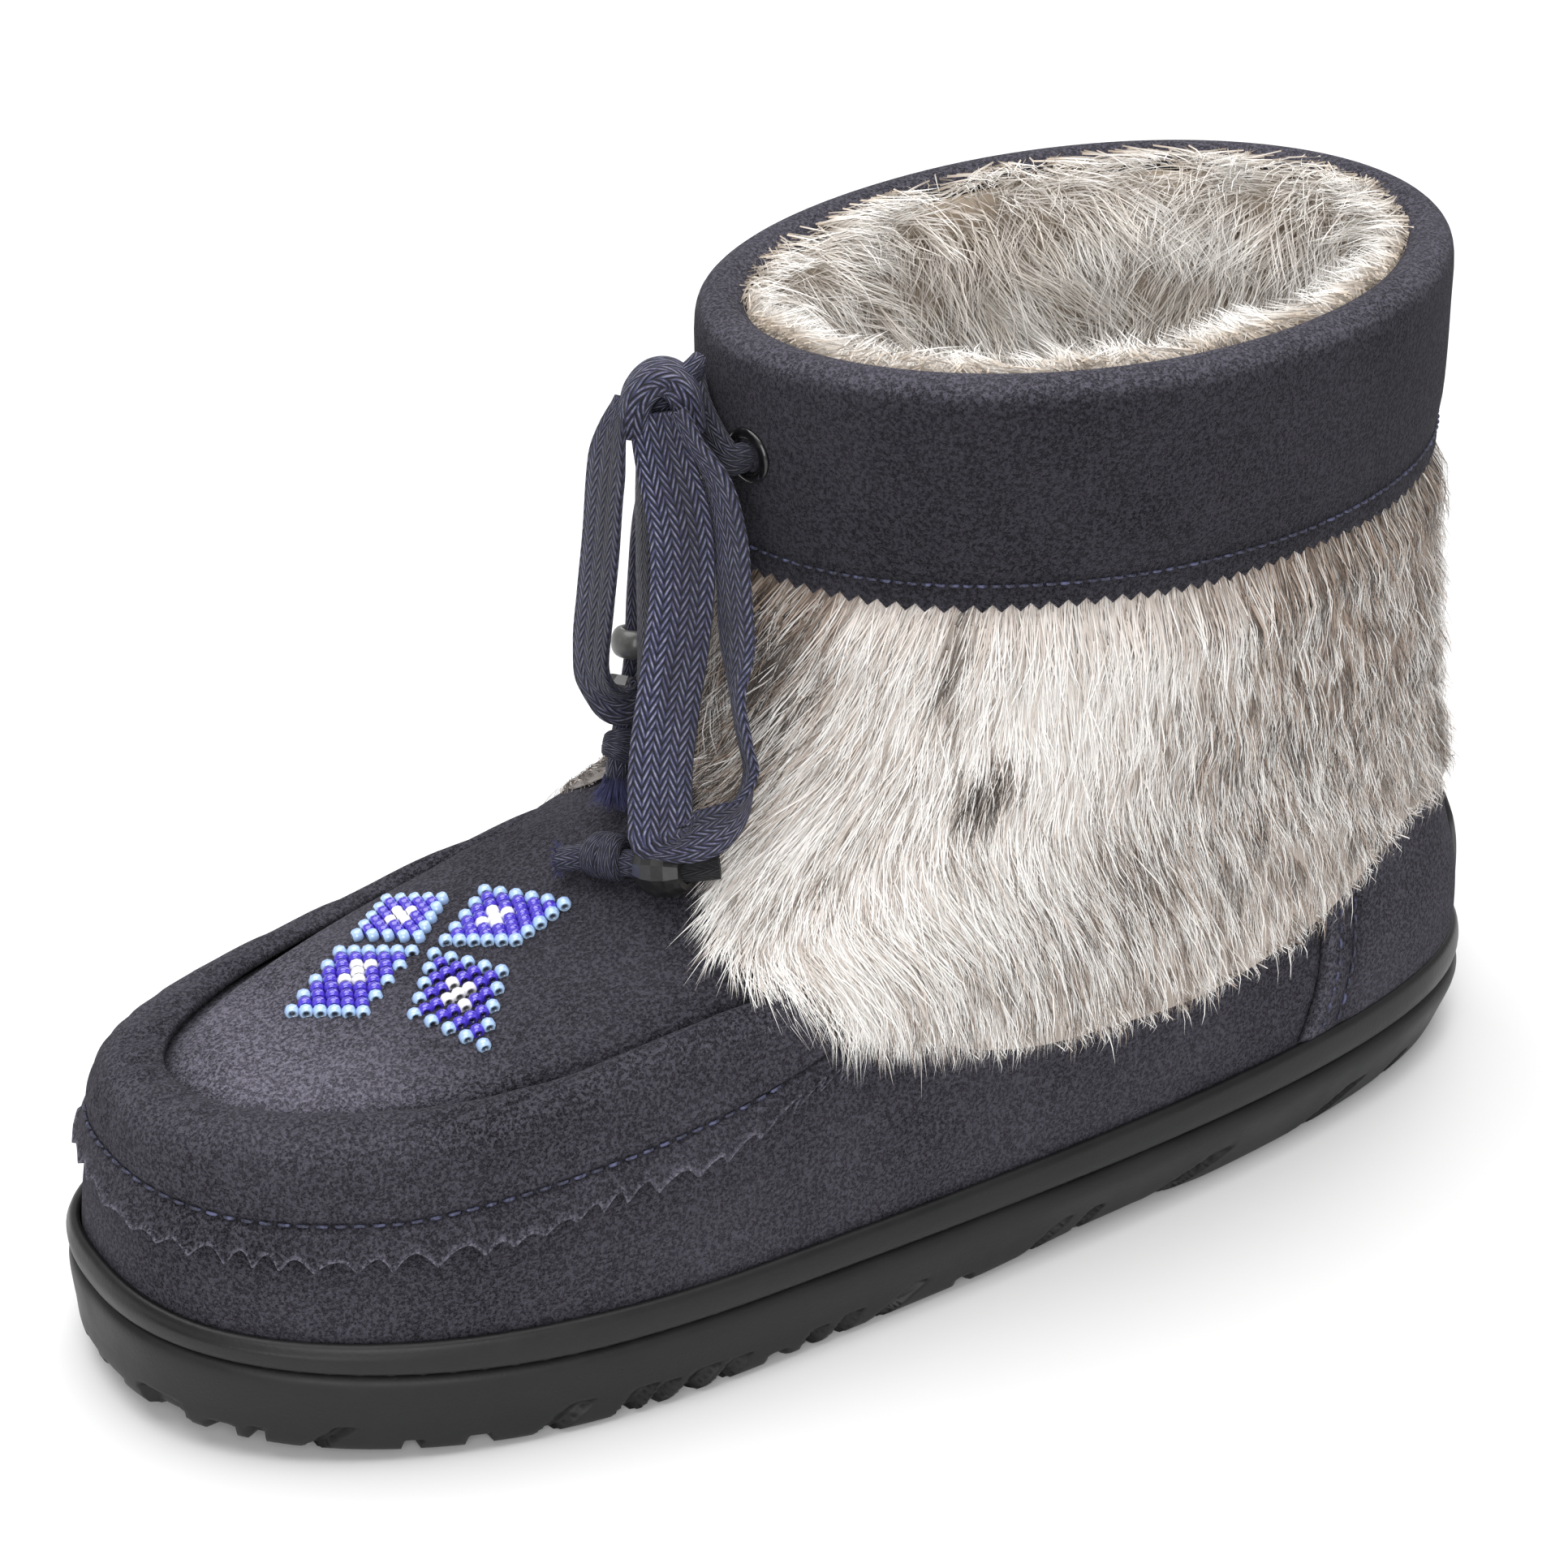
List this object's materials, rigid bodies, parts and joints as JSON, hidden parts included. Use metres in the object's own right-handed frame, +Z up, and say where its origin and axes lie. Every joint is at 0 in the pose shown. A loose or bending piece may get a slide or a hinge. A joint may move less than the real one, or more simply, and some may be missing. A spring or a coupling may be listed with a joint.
{
  "type": "slipper boot",
  "caption": "Left ankle-high moccasin slipper boot with fur band, folded suede cuff, beaded plug, drawn lace and lugged rubber sole.",
  "frame": {"origin": "middle of the shoe's length and width, on the floor under the sole", "axes": "+Z up, -X towards the toe, -Y towards the outer side of the left foot"},
  "size_m": [0.2801, 0.0992, 0.1697],
  "materials": {
    "rubber_sole": "matt moulded",
    "rubber_rand": "satin moulded",
    "insole_felt": "felted",
    "suede": "napped",
    "suede_heel": "napped",
    "fur": "long pile",
    "eyelet_metal": "black lacquer",
    "lace": "waxed braid",
    "bead_grey": "frosted",
    "bead_dark": "faceted gloss",
    "seed_beads": "polished glass"
  },
  "bodies": {
    "root": {"outsole": "rubber_sole", "rand": "rubber_rand", "insole": "insole_felt", "upper": "suede", "apron": "suede", "heel_counter": "suede_heel", "fur_band": "fur", "cuff": "suede", "eyelet_outer": "eyelet_metal", "eyelet_inner": "eyelet_metal", "lace_bars": "lace", "lace_knot": "lace", "lace_loop_inner": "lace", "lace_loop_outer": "lace", "lace_end_inner": "lace", "lace_end_outer": "lace", "lace_bead_grey": "bead_grey", "lace_bead_dark": "bead_dark", "lace_bead_low": "bead_dark", "bead_lozenge_1": "seed_beads", "bead_lozenge_2": "seed_beads", "bead_lozenge_3": "seed_beads", "bead_lozenge_4": "seed_beads"}
  },
  "joints": []
}
